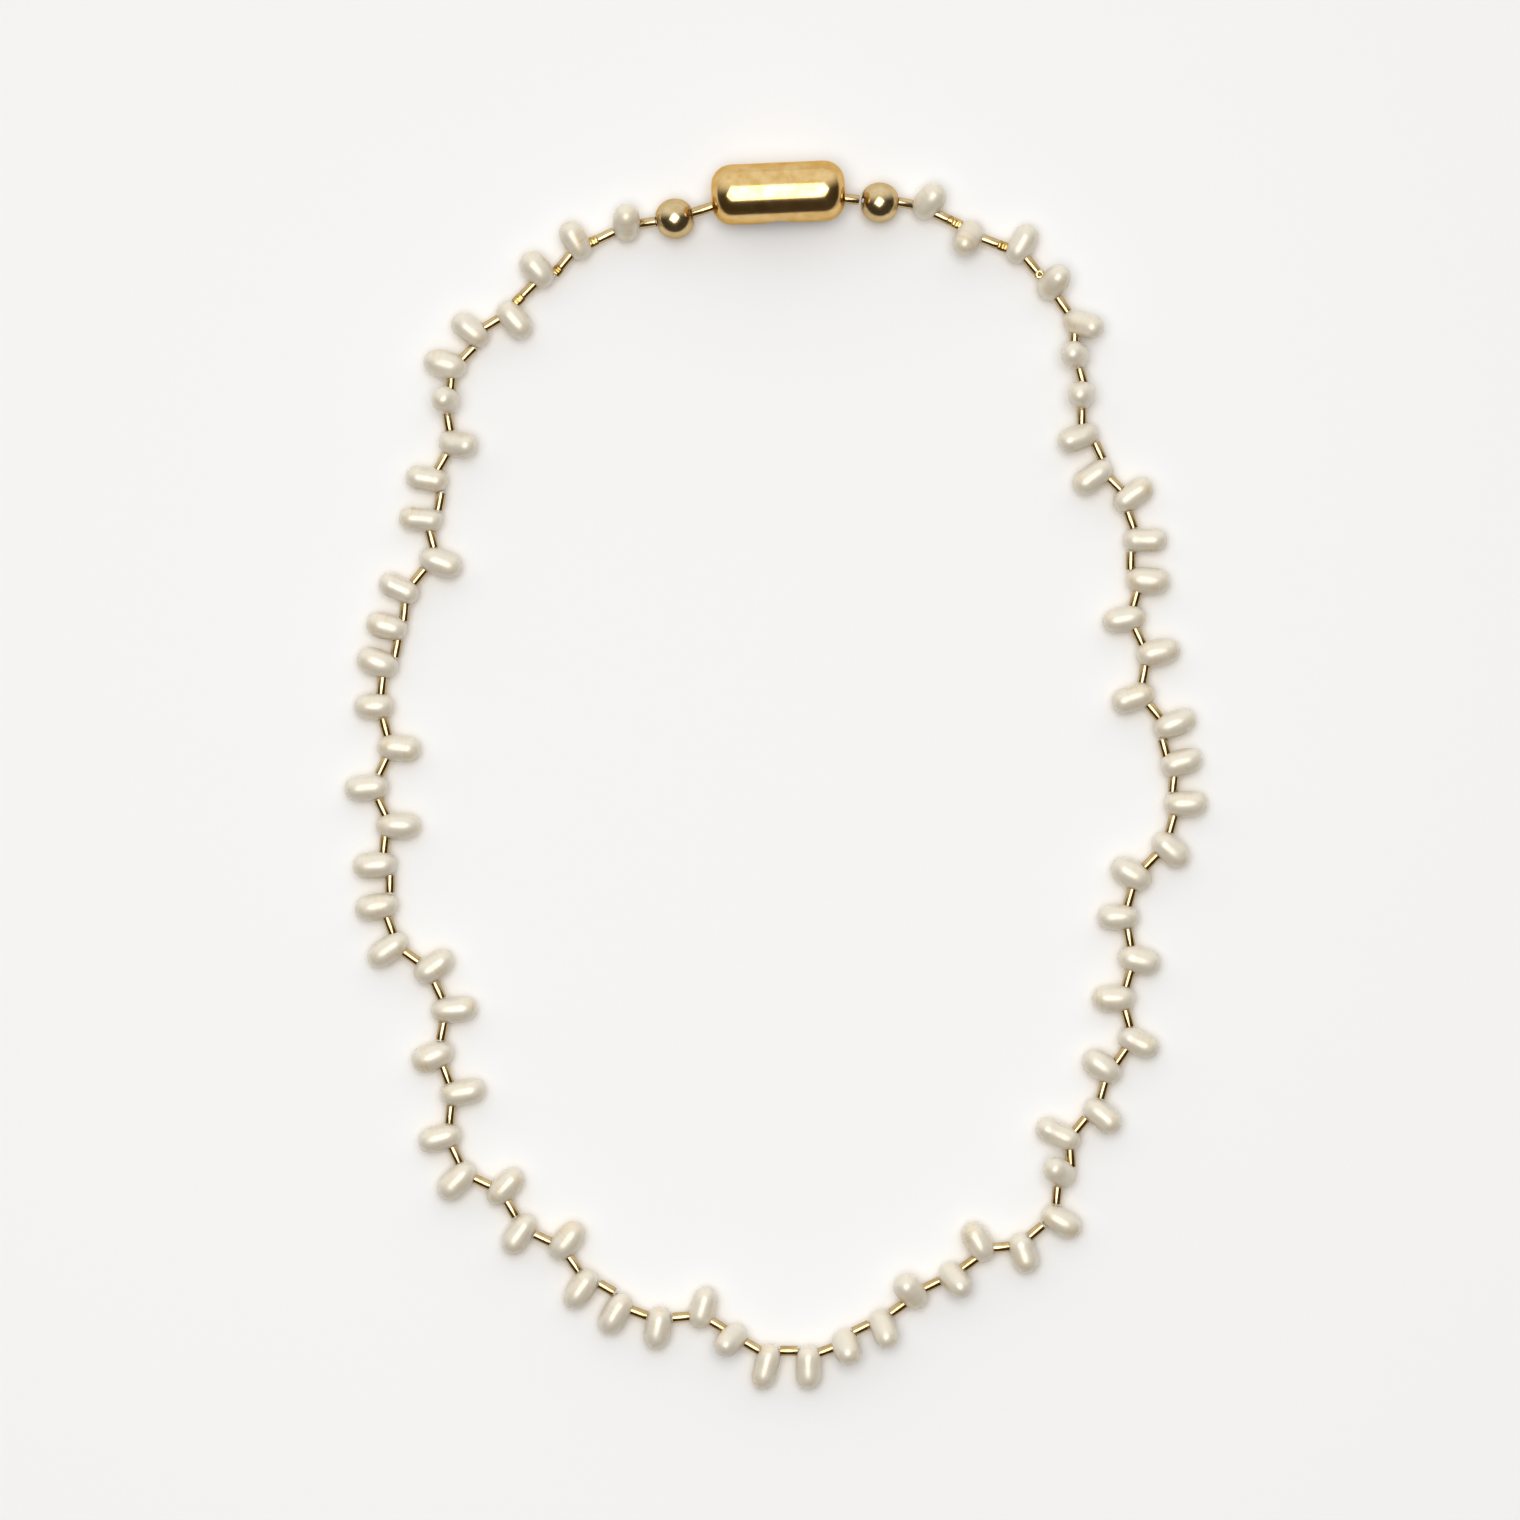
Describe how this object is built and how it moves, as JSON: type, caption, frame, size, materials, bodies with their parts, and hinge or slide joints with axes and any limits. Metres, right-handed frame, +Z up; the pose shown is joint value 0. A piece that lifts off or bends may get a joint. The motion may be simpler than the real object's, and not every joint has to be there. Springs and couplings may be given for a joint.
{
  "type": "freshwater pearl necklace",
  "caption": "Single-strand necklace of side-drilled freshwater pearls spaced by gold tubes, closed by a ball-and-sleeve clasp, laid out as a loop.",
  "frame": {"origin": "middle of the loop's outline, on the surface that the necklace lies on", "axes": "+X across the loop, +Y from the front of the necklace to the clasp, +Z up off the surface"},
  "size_m": [0.1074, 0.1529, 0.0075],
  "materials": {
    "pearl": "polished nacre",
    "tube_gold": "polished gold plate",
    "ball_gold": "polished gold plate",
    "sleeve_gold": "polished gold plate",
    "crimp_gold": "pressed gold plate",
    "beading_wire": "coated stranded wire"
  },
  "bodies": {
    "front": {"pearls_front": "pearl", "tubes_front": "tube_gold", "wire_front": "beading_wire"},
    "left_1": {"pearls_left_1": "pearl", "tubes_left_1": "tube_gold", "wire_left_1": "beading_wire"},
    "left_2": {"pearls_left_2": "pearl", "tubes_left_2": "tube_gold", "wire_left_2": "beading_wire"},
    "left_3": {"pearls_left_3": "pearl", "tubes_left_3": "tube_gold", "wire_left_3": "beading_wire"},
    "left_4": {"pearls_left_4": "pearl", "tubes_left_4": "tube_gold", "wire_left_4": "beading_wire"},
    "left_5": {"pearls_left_5": "pearl", "tubes_left_5": "tube_gold", "wire_left_5": "beading_wire"},
    "left_6": {"pearls_left_6": "pearl", "tubes_left_6": "tube_gold", "wire_left_6": "beading_wire"},
    "left_7": {"pearls_left_7": "pearl", "tubes_left_7": "tube_gold", "wire_left_7": "beading_wire", "crimps_left": "crimp_gold"},
    "right_1": {"pearls_right_1": "pearl", "tubes_right_1": "tube_gold", "wire_right_1": "beading_wire"},
    "right_2": {"pearls_right_2": "pearl", "tubes_right_2": "tube_gold", "wire_right_2": "beading_wire"},
    "right_3": {"pearls_right_3": "pearl", "tubes_right_3": "tube_gold", "wire_right_3": "beading_wire"},
    "right_4": {"pearls_right_4": "pearl", "tubes_right_4": "tube_gold", "wire_right_4": "beading_wire"},
    "right_5": {"pearls_right_5": "pearl", "tubes_right_5": "tube_gold", "wire_right_5": "beading_wire"},
    "right_6": {"pearls_right_6": "pearl", "tubes_right_6": "tube_gold", "wire_right_6": "beading_wire"},
    "right_7": {"pearls_right_7": "pearl", "tubes_right_7": "tube_gold", "wire_right_7": "beading_wire", "crimps_right": "crimp_gold"},
    "left_ball": {"left_ball": "ball_gold"},
    "right_ball": {"right_ball": "ball_gold"},
    "left_link": {"left_link_tube": "tube_gold", "left_link_wire": "beading_wire", "left_end_ball": "ball_gold", "left_wire_stop": "crimp_gold"},
    "right_link": {"right_link_tube": "tube_gold", "right_link_wire": "beading_wire", "right_end_ball": "ball_gold", "right_wire_stop": "crimp_gold"},
    "clasp_sleeve": {"clasp_sleeve": "sleeve_gold"}
  },
  "joints": [
    {"name": "left_1_bend", "type": "hinge", "parent": "front", "child": "left_1", "pos_m": [-0.00635, -0.06885, 0.0018], "axis": [0, 0, 1], "range_deg": [0, 12]},
    {"name": "left_2_bend", "type": "hinge", "parent": "left_1", "child": "left_2", "pos_m": [-0.0281, -0.05796, 0.0018], "axis": [0, 0, 1], "range_deg": [0, 12]},
    {"name": "left_3_lift", "type": "hinge", "parent": "left_2", "child": "left_3", "pos_m": [-0.04072, -0.03813, 0.0018], "axis": [0.9744, -0.2249, 0], "range_deg": [0, 10]},
    {"name": "left_4_bend", "type": "hinge", "parent": "left_3", "child": "left_4", "pos_m": [-0.0481, -0.0144, 0.0018], "axis": [0, 0, 1], "range_deg": [0, 12]},
    {"name": "left_5_bend", "type": "hinge", "parent": "left_4", "child": "left_5", "pos_m": [-0.0492, 0.0103, 0.0018], "axis": [0, 0, 1], "range_deg": [0, 12]},
    {"name": "left_6_lift", "type": "hinge", "parent": "left_5", "child": "left_6", "pos_m": [-0.04209, 0.03322, 0.0018], "axis": [0.808, -0.5892, 0], "range_deg": [0, 10]},
    {"name": "left_7_bend", "type": "hinge", "parent": "left_6", "child": "left_7", "pos_m": [-0.03635, 0.05595, 0.0018], "axis": [0, 0, 1], "range_deg": [0, 12]},
    {"name": "right_1_bend", "type": "hinge", "parent": "front", "child": "right_1", "pos_m": [0.0096, -0.06916, 0.0018], "axis": [0, 0, -1], "range_deg": [0, 12]},
    {"name": "right_2_bend", "type": "hinge", "parent": "right_1", "child": "right_2", "pos_m": [0.03156, -0.05731, 0.0018], "axis": [0, 0, -1], "range_deg": [0, 12]},
    {"name": "right_3_lift", "type": "hinge", "parent": "right_2", "child": "right_3", "pos_m": [0.04237, -0.0357, 0.0018], "axis": [0.9714, 0.2374, 0], "range_deg": [0, 10]},
    {"name": "right_4_bend", "type": "hinge", "parent": "right_3", "child": "right_4", "pos_m": [0.04592, -0.01128, 0.0018], "axis": [0, 0, -1], "range_deg": [0, 12]},
    {"name": "right_5_bend", "type": "hinge", "parent": "right_4", "child": "right_5", "pos_m": [0.04561, 0.01172, 0.0018], "axis": [0, 0, -1], "range_deg": [0, 12]},
    {"name": "right_6_lift", "type": "hinge", "parent": "right_5", "child": "right_6", "pos_m": [0.04298, 0.03572, 0.0018], "axis": [0.7998, 0.6003, 0], "range_deg": [0, 10]},
    {"name": "right_7_bend", "type": "hinge", "parent": "right_6", "child": "right_7", "pos_m": [0.03633, 0.0579, 0.0018], "axis": [0, 0, -1], "range_deg": [0, 12]},
    {"name": "left_ball_spin", "type": "hinge", "parent": "left_7", "child": "left_ball", "pos_m": [-0.0126, 0.0695, 0.0025], "axis": [0.9707, 0.2191, 0.0989], "continuous": true},
    {"name": "right_ball_spin", "type": "hinge", "parent": "right_7", "child": "right_ball", "pos_m": [0.0129, 0.0715, 0.0025], "axis": [-0.9939, 0.0325, 0.1053], "continuous": true},
    {"name": "left_link_swing", "type": "hinge", "parent": "left_7", "child": "left_link", "pos_m": [-0.0126, 0.0695, 0.0025], "axis": [0, 0, 1], "range_deg": [0, 5]},
    {"name": "sleeve_swing", "type": "hinge", "parent": "left_link", "child": "clasp_sleeve", "pos_m": [-0.00502, 0.07181, 0.00343], "axis": [-0.0218, 0.4995, -0.866], "range_deg": [0, 10]},
    {"name": "clasp_slide", "type": "slide", "parent": "clasp_sleeve", "child": "right_link", "axis": [-0.999, -0.0436, 0], "range_m": [0, 0.0045]}
  ]
}
